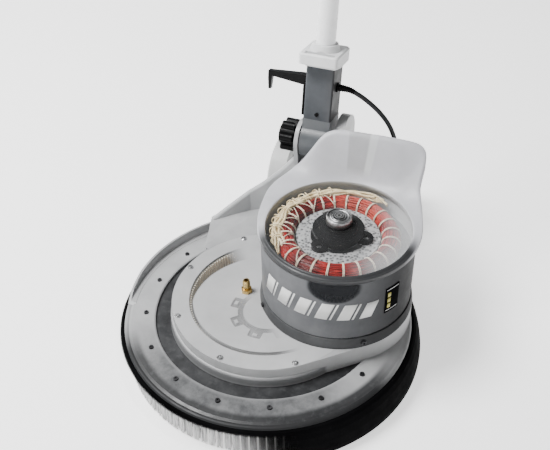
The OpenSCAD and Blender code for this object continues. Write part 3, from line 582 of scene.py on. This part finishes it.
def tube(points, radius, sides=8, closed=False):
    """A round tube along points. radius is a number, or one per point."""
    pts = [Vector(p) for p in points]
    n = len(pts)
    rad = radius if isinstance(radius, (list, tuple)) else [radius] * n
    tang = []
    for i in range(n):
        a = pts[(i - 1) % n] if closed or i else pts[0]
        b = pts[(i + 1) % n] if closed or i < n - 1 else pts[-1]
        tang.append((b - a).normalized())
    ref = Vector((0, 0, 1)) if abs(tang[0].z) < 0.9 else Vector((1, 0, 0))
    u = (ref - tang[0] * ref.dot(tang[0])).normalized()
    frames = []
    for t in tang:
        u = (u - t * u.dot(t)).normalized()
        frames.append((u, t.cross(u)))
    if closed:
        t0, u0 = tang[0], frames[0][0]
        last = (frames[-1][0] - t0 * frames[-1][0].dot(t0)).normalized()
        twist = math.atan2(t0.dot(last.cross(u0)), last.dot(u0))
        fixed = []
        for i, (a, b) in enumerate(frames):
            w = twist * i / n
            fixed.append((a * math.cos(w) + b * math.sin(w), b * math.cos(w) - a * math.sin(w)))
        frames = fixed
    verts, faces = [], []
    for i in range(n):
        a, b = frames[i]
        for k in range(sides):
            w = TAU * k / sides
            verts.append(pts[i] + rad[i] * (a * math.cos(w) + b * math.sin(w)))
    for i in range(n if closed else n - 1):
        j = (i + 1) % n
        for k in range(sides):
            k2 = (k + 1) % sides
            faces.append((i * sides + k, i * sides + k2, j * sides + k2, j * sides + k))
    if not closed:
        faces.append(tuple(range(sides - 1, -1, -1)))
        faces.append(tuple((n - 1) * sides + k for k in range(sides)))
    return verts, faces


def lathe(profile, steps, centre):
    """A closed (r, z) profile turned about an upright axis."""
    cx, cy, cz = centre
    m = len(profile)
    verts = [(cx + r * math.cos(TAU * i / steps), cy + r * math.sin(TAU * i / steps), cz + z)
             for i in range(steps) for r, z in profile]
    return verts, ring_faces(steps, m)


def ring_faces(steps, m):
    """The faces between closed sections of m points that go once round, at steps places."""
    faces = []
    for i in range(steps):
        i2 = (i + 1) % steps
        for j in range(m):
            j2 = (j + 1) % m
            faces.append((i * m + j, i2 * m + j, i2 * m + j2, i * m + j2))
    return faces


def join(*parts):
    verts, faces = [], []
    for v, f in parts:
        n = len(verts)
        verts += [tuple(p) for p in v]
        faces += [tuple(i + n for i in face) for face in f]
    return verts, faces


def sphere(centre, r, rings, steps):
    c = Vector(centre)
    verts = [c + Vector((0, 0, r))]
    for i in range(1, rings):
        level, out = r * math.cos(math.pi * i / rings), r * math.sin(math.pi * i / rings)
        verts += [c + Vector((out * math.cos(TAU * k / steps), out * math.sin(TAU * k / steps), level))
                  for k in range(steps)]
    verts.append(c - Vector((0, 0, r)))
    faces = [(0, 1 + k, 1 + (k + 1) % steps) for k in range(steps)]
    for i in range(rings - 2):
        a, b = 1 + i * steps, 1 + (i + 1) * steps
        faces += [(a + k, b + k, b + (k + 1) % steps, a + (k + 1) % steps) for k in range(steps)]
    a, e = 1 + (rings - 2) * steps, len(verts) - 1
    faces += [(a + k, e, a + (k + 1) % steps) for k in range(steps)]
    return verts, faces


def at_motor(r, degrees, z):
    a = math.radians(degrees)
    return MOTOR + Vector((r * math.cos(a), r * math.sin(a), z))


def in_handle(across, forward, along):
    """A point in the handle's own leaning frame at rest."""
    return PIVOT + Vector((across, forward * math.cos(LEAN) + along * math.sin(LEAN),
                           -forward * math.sin(LEAN) + along * math.cos(LEAN)))


def catmull(points, per):
    """A smooth curve through the points, with per points to each stretch."""
    pts = [Vector(p) for p in points]
    pts = [2 * pts[0] - pts[1]] + pts + [2 * pts[-1] - pts[-2]]
    out = []
    for i in range(1, len(pts) - 2):
        p0, p1, p2, p3 = pts[i - 1:i + 3]
        for k in range(per):
            t = k / per
            out.append(0.5 * ((2 * p1) + (p2 - p0) * t + (2 * p0 - 5 * p1 + 4 * p2 - p3) * t * t
                              + (3 * p1 - p0 - 3 * p2 + p3) * t ** 3))
    out.append(pts[-2])
    return out


# ---------------------------------------------------------------- the motor cable, first
CABLE_MM = [(33, 220, 316), (46, 220, 315), (61, 221, 308), (76, 222, 298), (91, 223, 285), (104, 224, 269),
            (113, 224, 252), (119, 222, 234), (122, 215, 216), (121, 204, 202), (120, 188, 196)]
CABLE_D = 0.0068

cable_route = catmull([Vector(p) / 1000 for p in CABLE_MM], 4)
cable = mesh("cable_to_motor", *tube(cable_route, CABLE_D / 2, 20), cable_jacket(), None, "black_rubber")
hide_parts("motor_cable")
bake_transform(cable)


def sleeve(route, length, r0, r1, rings, body, name):
    """A ribbed, tapered strain relief over the first stretch of a cable's route."""
    steps, rib = 8, 0.0007
    pts, radii, run = [route[0]], [r0], 0.0
    for a, b in zip(route, route[1:]):
        for k in range(1, steps + 1):
            run += (b - a).length / steps
            if run > length:
                break
            t = run / length
            pts.append(a.lerp(b, k / steps))
            radii.append(r0 + (r1 - r0) * t - rib * (math.sin(t * rings * TAU) > 0.2))
        if run > length:
            break
    mesh(name, *tube(pts, radii, 24), s_black, body, "black_plastic")


sleeve(cable_route, 0.020, 0.0052, 0.0041, 7, "handle", "cable_relief_column")
sleeve(cable_route[::-1], 0.022, 0.0078, 0.0047, 6, "chassis", "cable_relief_box")

# ---------------------------------------------------------------- brush
# each ring's radius at the top and at the floor, its tufts, and the fibres in a tuft
TUFTS = ((0.2018, 0.2052, 112, 30), (0.1880, 0.1950, 104, 9), (0.1640, 0.1700, 84, 6),
         (0.1440, 0.1480, 72, 6), (0.1230, 0.1250, 60, 6), (0.1010, 0.1020, 48, 6),
         (0.0800, 0.0790, 36, 6), (0.0660, 0.0640, 30, 7))


def brush():
    """Tufts of bent fibres in rings, splayed at the tips. The outer ring is denser and starts higher."""
    rng = random.Random(7)
    foot_limit, radii = 0.2068, [0.00095, 0.00085, 0.0005]
    parts = []
    for ring, (r_top, r_foot, count, fibres) in enumerate(TUFTS):
        z_top, half = (0.0450, 0.0040) if ring == 0 else (0.0338, 0.0022)
        for i in range(count):
            w0 = TAU * (i + 0.5 * (ring % 2)) / count
            round_ring = Vector((-math.sin(w0), math.cos(w0), 0))
            for _ in range(fibres):
                spread, out = rng.uniform(-1, 1), rng.uniform(-1, 1)
                top = Vector(((r_top + 0.0018 * out) * math.cos(w0), (r_top + 0.0024 * out) * math.sin(w0),
                              z_top))
                top += round_ring * half * spread
                w = w0 + spread * 0.48 * TAU / count / 1.3 + rng.uniform(-0.3, 0.3) / count
                rf = min(foot_limit, r_foot + 0.0032 * out + 0.001 * rng.uniform(-1, 1))
                foot = Vector((rf * math.cos(w), rf * math.sin(w), 0.0002 + 0.0012 * rng.random()))
                outward = Vector((math.cos(w), math.sin(w), 0))
                mid = top.lerp(foot, 0.5) + outward * 0.0009 * rng.uniform(-1, 1)
                parts.append(tube([top, mid, foot], radii, 4))
    return join(*parts)


mesh("brush_tufts", *brush(), brush_fibre(), "drive", "bristle_white", replaces=("bristles",))


# ---------------------------------------------------------------- motor
def coil(z, tube_r, strands, wire, steps, seed):
    """An end winding: many enamelled wires round a ring, pinched at each lacing."""
    rng = random.Random(seed)
    parts = [tube([at_motor(WINDING_R, 360 * i / 96, z) for i in range(96)], tube_r * 0.84, 16, closed=True)]
    for k in range(strands):
        a0, p1, p2 = TAU * k / strands, rng.uniform(0, TAU), rng.uniform(0, TAU)
        n1, n2 = rng.choice((2, 3, 4, 5)), rng.choice((7, 9, 11, 13))
        pts = []
        for i in range(steps):
            t = TAU * i / steps
            a = a0 + 0.16 * math.sin(n1 * t + p1) + 0.05 * math.sin(n2 * t + p2)
            pinch = 1 - 0.05 * max(0, math.cos(TIES * (t - math.radians(TIE_STEP / 2)))) ** 6
            rr = (tube_r - wire) * pinch * (1 + 0.02 * math.sin(n2 * t + p1))
            pts.append(at_motor(WINDING_R + rr * math.cos(a), math.degrees(t), z + rr * math.sin(a)))
        parts.append(tube(pts, wire, 5, closed=True))
    return join(*parts)


upper = coil(WINDING_Z, tube_r=0.0126, strands=44, wire=0.00108, steps=240, seed=3)
lower = coil(0.1064, tube_r=0.0110, strands=26, wire=0.0015, steps=96, seed=5)
bars = [tube([at_motor(0.070, TIE_STEP * k, z) for z in (0.113, 0.188)], 0.0056, 10) for k in range(TIES)]
mesh("windings", *join(upper, lower, *bars), enamelled_copper(), "chassis", "copper_red",
     replaces=("stator_winding",))


def lacing():
    """Waxed cord tied round the winding, two turns at each tie. Along the left, it slants on to the next."""
    rr, cord = 0.0131, 0.00075
    over = rr + 0.0002
    parts = []
    for k in range(TIES):
        t0 = TIE_STEP * k + TIE_STEP / 2
        for off in (-0.55, 0.55):
            loop = [at_motor(WINDING_R + rr * math.cos(a), t0 + off + 0.5 * math.sin(a),
                             WINDING_Z + rr * math.sin(a)) for a in (TAU * i / 28 for i in range(28))]
            parts.append(tube(loop, cord, 6, closed=True))
        if not 110 < t0 < 235:
            continue
        run = []
        for i in range(9):
            u = i / 8
            a = math.radians(155 - 120 * u) if k % 2 else math.radians(35 + 120 * u)
            run.append(at_motor(WINDING_R + over * math.cos(a), t0 + TIE_STEP * u,
                                WINDING_Z + over * math.sin(a)))
        parts.append(tube(run, cord, 6))
        a = math.radians(130)
        knot = at_motor(WINDING_R + rr * math.cos(a), t0, WINDING_Z + rr * math.sin(a))
        parts.append(sphere(knot, 0.0018, 6, 8))
    return join(*parts)


mesh("lacing_cord", *lacing(), waxed_lacing(), "chassis", "cream_cord", replaces=("winding_lacing",))


def leads():
    """Sleeved leads: a rough bundle tied along the left of the winding, then a loose fan across the back."""
    rng = random.Random(11)
    count, points, bands = 22, 44, 15
    bundle_r, half_wide, fan_out, bundle_z = 0.0840, 0.0062, 0.0075, 0.2052
    r_limit, z_limit = 0.0962, 0.2094
    parts = []
    for k in range(count):
        f = rng.uniform(-1, 1)
        p1, p2, p3 = (rng.uniform(0, TAU) for _ in range(3))
        first = 226 - 30 * rng.random()
        last = (118, 96, 70, 66, 60, 56)[k % 6] + 6 * rng.random()
        thick = 0.00155 if k % 3 else 0.0011
        lift = rng.uniform(-1, 1)
        pts = []
        for i in range(points):
            u = i / (points - 1)
            deg = first + (last - first) * u
            loose = max(0.0, min(1.0, (deg - 60) / 60)) if deg < 120 else 1.0
            wob = 0.0016 * math.sin(9 * u * TAU * 0.5 + p1) + 0.0008 * math.sin(23 * u + p2)
            rad = bundle_r + half_wide * f * (0.5 + 0.5 * loose) + wob + fan_out * (1 - loose)
            zz = bundle_z + 0.0030 * lift + 0.0014 * math.sin(17 * u + p3) - 0.010 * max(0, 0.06 - u) / 0.06
            pts.append(at_motor(min(rad, r_limit), deg, min(zz, z_limit)))
        parts.append(tube(catmull(pts, 2), thick, 7))
    for k in range(bands):
        deg = 214 - 6.9 * k
        tilt = 2.2 if k % 2 else -2.2
        ring = [at_motor(0.0842 + 0.0094 * math.cos(a), deg + tilt * math.sin(a),
                         0.2050 + 0.0052 * math.sin(a)) for a in (TAU * i / 22 for i in range(22))]
        parts.append(tube(ring, 0.0008, 6, closed=True))
    return join(*parts)


mesh("lead_sleeves", *leads(), braided_sleeving(), "chassis", "cream_cord", replaces=("lead_bundle",))


def bearing(z0, bore, outer, wide, balls):
    """A ball bearing: two chamfered races, balls, a plain cage ring on each side, and a shield on top."""
    c, zc = 0.0007, wide / 2
    ri, ro = bore + (outer - bore) * 0.30, bore + (outer - bore) * 0.70
    mid, br = (ri + ro) / 2, (ro - ri) * 0.62
    where = (MOTOR.x, MOTOR.y, z0)
    parts = [lathe([(lo, c), (lo + c, 0), (hi - c, 0), (hi, c), (hi, wide - c), (hi - c, wide),
                    (lo + c, wide), (lo, wide - c)], steps, where)
             for lo, hi, steps in ((bore, ri, 72), (ro, outer, 96))]
    for i in range(balls):
        a = TAU * i / balls
        parts.append(sphere((MOTOR.x + mid * math.cos(a), MOTOR.y + mid * math.sin(a), z0 + zc), br, 10, 14))
    for zz in (zc - br * 0.8, zc + br * 0.8):
        parts.append(lathe([(mid - 0.0009, zz - 0.0003), (mid + 0.0009, zz - 0.0003),
                            (mid + 0.0009, zz + 0.0003), (mid - 0.0009, zz + 0.0003)], 72, where))
    low, high, groove = wide - 0.0016, wide - 0.0006, wide - 0.0011
    parts.append(lathe([(ri + 0.0004, low), (ro - 0.0003, low), (ro - 0.0003, high), (mid + 0.0008, high),
                        (mid + 0.0004, groove), (mid - 0.0008, groove), (mid - 0.0012, high),
                        (ri + 0.0004, high)], 96, where))
    return join(*parts)


mesh("ball_bearings",
     *join(bearing(0.220, 0.0075, 0.01745, 0.011, 8), bearing(0.0874, 0.0085, 0.01995, 0.012, 8)),
     s_turned, "rotor", "bright_steel", replaces=("motor_bearings",))

# the cap's stations, as in the CAD: degrees round the motor, outer radius and top height in mm
CAP = ((-90, 106.4, 211), (-60, 106.4, 211), (-40, 106.6, 211), (-20, 107.5, 211), (0, 110, 211),
       (12, 112.5, 212), (23, 114.5, 213), (30, 117, 215), (40, 123, 220), (48, 130, 228),
       (53, 141, 243), (56, 155, 258), (59, 161, 268.4), (63, 157.5, 274.6), (70, 148, 276.6),
       (77, 142, 276.8), (90, 138, 276), (100, 140, 275), (110, 146, 272.6), (115.5, 147, 268.4),
       (120, 144, 259), (126, 140, 242), (132, 139, 227), (140, 139, 216), (150, 136, 212),
       (158, 131, 211), (168, 122, 211), (180, 115.5, 211), (194, 111, 211), (210, 109, 211),
       (228, 107, 211), (250, 106.4, 211))


def cap_at(deg):
    """Outer radius and top height of the cap at an angle, in mm, smoothed over a few degrees."""
    total, r_sum, z_sum = 0.0, 0.0, 0.0
    for k in range(-4, 5):
        a = (deg + k * 0.9 + 90) % 360 - 90
        weight = 1 - abs(k) / 5
        for (a0, r0, z0), (a1, r1, z1) in zip(CAP, CAP[1:] + ((270, 106.4, 211),)):
            if a0 <= a <= a1:
                u = (a - a0) / (a1 - a0)
                r_sum += weight * (r0 + (r1 - r0) * u)
                z_sum += weight * (z0 + (z1 - z0) * u)
                total += weight
                break
    return r_sum / total, z_sum / total


def cap_mesh():
    """The cap, with smooth curves between its stations and a rolled rim."""
    steps, rim_r, rim_z, top, wall_r, flat_z = 720, 99.5, 214.0, 206.05, 106.25, 216
    verts = []
    for i in range(steps):
        deg = 360 * i / steps
        r, z = cap_at(deg)
        foot = min(z - 7, top + max(0, z - flat_z) * 0.92)
        section = [(rim_r, top), (rim_r, rim_z - 1.0), (rim_r + 0.25, rim_z - 0.3), (rim_r + 0.8, rim_z)]
        start, end = (rim_r + 2.6, rim_z - 0.2), (r - 2.4, z + 0.02)
        for k in range(1, 10):
            u = k / 10
            lift = 0.035 * max(0.0, z - flat_z) * math.sin(math.pi * u)
            section.append((start[0] + (end[0] - start[0]) * u,
                            start[1] + (end[1] - start[1]) * u ** (1.0 if z < flat_z else 1.12) - lift))
        section += [(r - 1.5, z), (r - 0.7, z - 0.35), (r - 0.2, z - 1.1), (r - 0.02, z - 2.4),
                    (r - 0.02, min(foot, z - 3.5)), (wall_r, top)]
        verts += [at_motor(rr / 1000, deg, zz / 1000) for rr, zz in section]
    return verts, ring_faces(steps, len(verts) // steps)


mesh("cap_shell", *cap_mesh(), cap_paint_shade_and_highlight(), "chassis", "light_grey", replaces=("motor_cap",))


# ---------------------------------------------------------------- plain marks on the motor wall, no lettering
def on_wall(u0, u1, z0, z1, lean, r0=0.10605, r1=0.10632):
    """A thin slanting patch that follows the motor wall. u is degrees round the motor axis."""
    n, m = 10, 2
    w, layer = n + 1, (n + 1) * (m + 1)
    verts = [at_motor(rr, u0 + (u1 - u0) * i / n + lean * j / m, z0 + (z1 - z0) * j / m)
             for rr in (r0, r1) for j in range(m + 1) for i in range(n + 1)]
    faces = []
    for j in range(m):
        for i in range(n):
            a = j * w + i
            faces.append((layer + a, layer + a + 1, layer + a + 1 + w, layer + a + w))
            faces.append((a, a + w, a + 1 + w, a + 1))
    edge = list(range(w)) + [j * w + n for j in range(1, m + 1)]
    edge += [m * w + i for i in range(n - 1, -1, -1)] + [j * w for j in range(m - 1, 0, -1)]
    for a, b in zip(edge, edge[1:] + edge[:1]):
        faces.append((a, b, layer + b, layer + a))
    return verts, faces


BAR_FROM, BAR_STEP, BAR_FOOT, BAR_TOP, BAR_LEAN = -137, 16.2, 0.1405, 0.1725, 5.5
ON_PLATE = (0.10690, 0.10705)
patches = [on_wall(BAR_FROM + BAR_STEP * k + start, BAR_FROM + BAR_STEP * k + end,
                   BAR_FOOT, BAR_TOP - 0.0012 * k, BAR_LEAN)
           for start, end, count in ((0, 9.0, 6), (10.6, 12.0, 5)) for k in range(count)]
mesh("wall_decal", *join(*patches), s_decal, "chassis", "light_grey")
plate_edge = [on_wall(-35.2, -23.8, z0, z0 + 0.0009, 0, *ON_PLATE) for z0 in (0.1395, 0.1765)]
mesh("label_lines", *join(*plate_edge), s_decal, "chassis", "light_grey")
marks = [on_wall(-34.0, -31.2, 0.1440 + 0.0098 * k, 0.1515 + 0.0098 * k, 0, *ON_PLATE) for k in range(3)]
mesh("label_marks", *join(*marks),
     flat_ink("yellow_mark", (0.34, 0.30, 0.05), (0.50, 0.45, 0.10), (0.35, 0.5)), "chassis", "cream_plastic")


# ---------------------------------------------------------------- handle
def strap():
    """A black strap on the column's left face, in front of the CAD hook's plate."""
    # height up the column, and how much of the strap's depth the row has
    rows = ((0.0415, 0.55), (0.0425, 0.9), (0.0445, 1.0), (0.0870, 1.0), (0.0890, 0.9), (0.0900, 0.55))
    middle, half, sides = (-0.02275, -0.0116), (0.00165, 0.0046), 20
    verts, faces = [], []
    for along, size in rows:
        for i in range(sides):
            cos_a, sin_a = math.cos(TAU * i / sides), math.sin(TAU * i / sides)
            across = middle[0] + half[0] * math.copysign(abs(cos_a) ** 0.35, cos_a)
            forward = middle[1] + half[1] * size * math.copysign(abs(sin_a) ** 0.45, sin_a)
            verts.append(in_handle(across, forward, along))
    for j in range(len(rows) - 1):
        for i in range(sides):
            i2 = (i + 1) % sides
            faces.append((j * sides + i, j * sides + i2, (j + 1) * sides + i2, (j + 1) * sides + i))
    faces.append(tuple(range(sides - 1, -1, -1)))
    faces.append(tuple(range((len(rows) - 1) * sides, len(rows) * sides)))
    return verts, faces


mesh("hook_strap", *strap(), s_black, "handle", "black_plastic")

# ---------------------------------------------------------------- finishes of the CAD nodes
FINISHES = (
    (deck_paint_and_shade(), "deck_casting"),
    (cover_paint(), "gear_cover"),
    (rim_trim(), "lip_trim"),
    (skirt_rubber(), "bumper_skirt"),
    (metal("bright_steel", (0.50, 0.505, 0.51), (0.78, 0.785, 0.79), rough=(0.16, 0.32)),
     "gear_cover_screws", "spindle", "spindle_bearings", "pivot_bolt", "pivot_washers", "wheel_axle",
     "drive_pinion"),
    (s_turned, "motor_shaft"),
    (metal("blackened_screws", (0.035, 0.035, 0.037), (0.11, 0.11, 0.115), rough=(0.3, 0.5)),
     "flange_screws", "shell_screws", "brush_bolts"),
    (metal("brass", (0.52, 0.33, 0.10), (0.80, 0.60, 0.26), rough=(0.18, 0.34)), "water_inlet"),
    (cast_alloy(), "lower_end_shield"),
    (drive_casting(), "drive_plate"),
    (gear_nylon(), "ring_gear"),
    (brush_board(), "brush_block"),
    (motor_wall_paint_and_shade(), "motor_shell"),
    (motor_base_paint_and_shade(), "motor_base_ring"),
    (clear_lid(), "motor_lid"),
    (metal("laminations", (0.12, 0.12, 0.125), (0.34, 0.34, 0.35), rough=(0.34, 0.5)),
     "stator_core", "rotor_core"),
    (rotor_end_casting(), "rotor_end_rings"),
    (s_black, "centrifugal_switch", "electrical_box", "capacitor", "box_cable_gland", "axle_caps",
     "cord_hook_lower", "column_screw", "column_cable_gland", "head_housing", "cord_hook_upper",
     "mains_gland", "tilt_knob"),
    (plastic("label_ink", (0.0010, 0.0010, 0.0012), (0.0035, 0.0035, 0.0040), rough=(0.55, 0.7), ior=1.04),
     "label_plate"),
    (plastic("terminal_moulding", (0.58, 0.54, 0.44), (0.78, 0.74, 0.64)), "terminal_block"),
    (painted("bracket_paint", (0.36, 0.365, 0.37), (0.49, 0.495, 0.50), dust=0.2),
     "handle_bracket", "bracket_rib"),
    (painted("drum_paint", (0.058, 0.064, 0.070), (0.100, 0.107, 0.116), dust=0.2), "pivot_drum"),
    (column_paint_and_shade(), "handle_column"),
    (plastic("collar_moulding", (0.62, 0.625, 0.63), (0.78, 0.785, 0.79), grain=900),
     "tank_hook_collar", "head_cover"),
    (painted("tube_paint", (0.90, 0.905, 0.91), (0.96, 0.963, 0.967), rough=(0.2, 0.34), coat=0.4, dust=0.06),
     "handle_tube"),
    (grip_rubber(), "grips"),
    (plastic("lever_moulding", (0.34, 0.018, 0.012), (0.56, 0.045, 0.030), grain=900),
     "trigger_left", "trigger_right"),
    (plastic("button_moulding", (0.66, 0.44, 0.03), (0.88, 0.64, 0.08), grain=900, rough=(0.22, 0.36)),
     "safety_button"),
    (plastic("wheel_moulding", (0.42, 0.425, 0.42), (0.56, 0.565, 0.56), grain=800),
     "wheel_left", "wheel_right"),
)
for shader, *names in FINISHES:
    for name in names:
        ob = NODES[name]
        if not ob.material_slots:
            ob.data.materials.append(shader.m)
        for material_slot in ob.material_slots:
            material_slot.material = shader.m


# ---------------------------------------------------------------- stage
def pale_floor():
    """A wide floor just under the machine, with a glow that keeps it near white."""
    s = Shader("floor_paper", rough=(0.6, 0.75))
    s.colour(s.ramp(s.noise(3, 3), (0.3, (0.96, 0.96, 0.96)), (0.7, (0.98, 0.98, 0.98))))
    s.b.inputs["Emission Color"].default_value = (1, 1, 1, 1)
    s.b.inputs["Emission Strength"].default_value = 1.1
    half, z = 40, -0.0005
    corners = [(-half, -half, z), (half, -half, z), (half, half, z), (-half, half, z)]
    me = bpy.data.meshes.new("floor")
    me.from_pydata(corners, [], [(0, 1, 2, 3)])
    floor = bpy.data.objects.new("floor", me)
    bpy.context.collection.objects.link(floor)
    me.materials.append(s.m)


def soft_light(name, where, aim, size, power):
    data = bpy.data.lights.new(name, "AREA")
    data.shape, data.size, data.energy = "DISK", size, power
    ob = bpy.data.objects.new(name, data)
    facing = (Vector(where) - Vector(aim)).to_track_quat("Z", "Y").to_matrix().to_4x4()
    ob.matrix_world = Matrix.Translation(where) @ facing
    bpy.context.collection.objects.link(ob)


def studio_world():
    world = bpy.data.worlds.new("studio")
    world.use_nodes = True
    sky = world.node_tree.nodes["Background"]
    sky.inputs["Color"].default_value = (1, 1, 1, 1)
    sky.inputs["Strength"].default_value = 0.20
    bpy.context.scene.world = world


pale_floor()
soft_light("key", (-1.3, -0.5, 2.7), (0, 0.1, 0.1), 1.2, 165)
soft_light("fill", (1.2, -2.2, 1.8), (0, 0.1, 0.1), 1.4, 10)
soft_light("low", (-1.1, -2.0, 0.7), (0, 0, 0.05), 1.0, 9)
soft_light("back", (-2.4, 1.2, 2.2), (0, 0.1, 0.2), 1.2, 45)
studio_world()
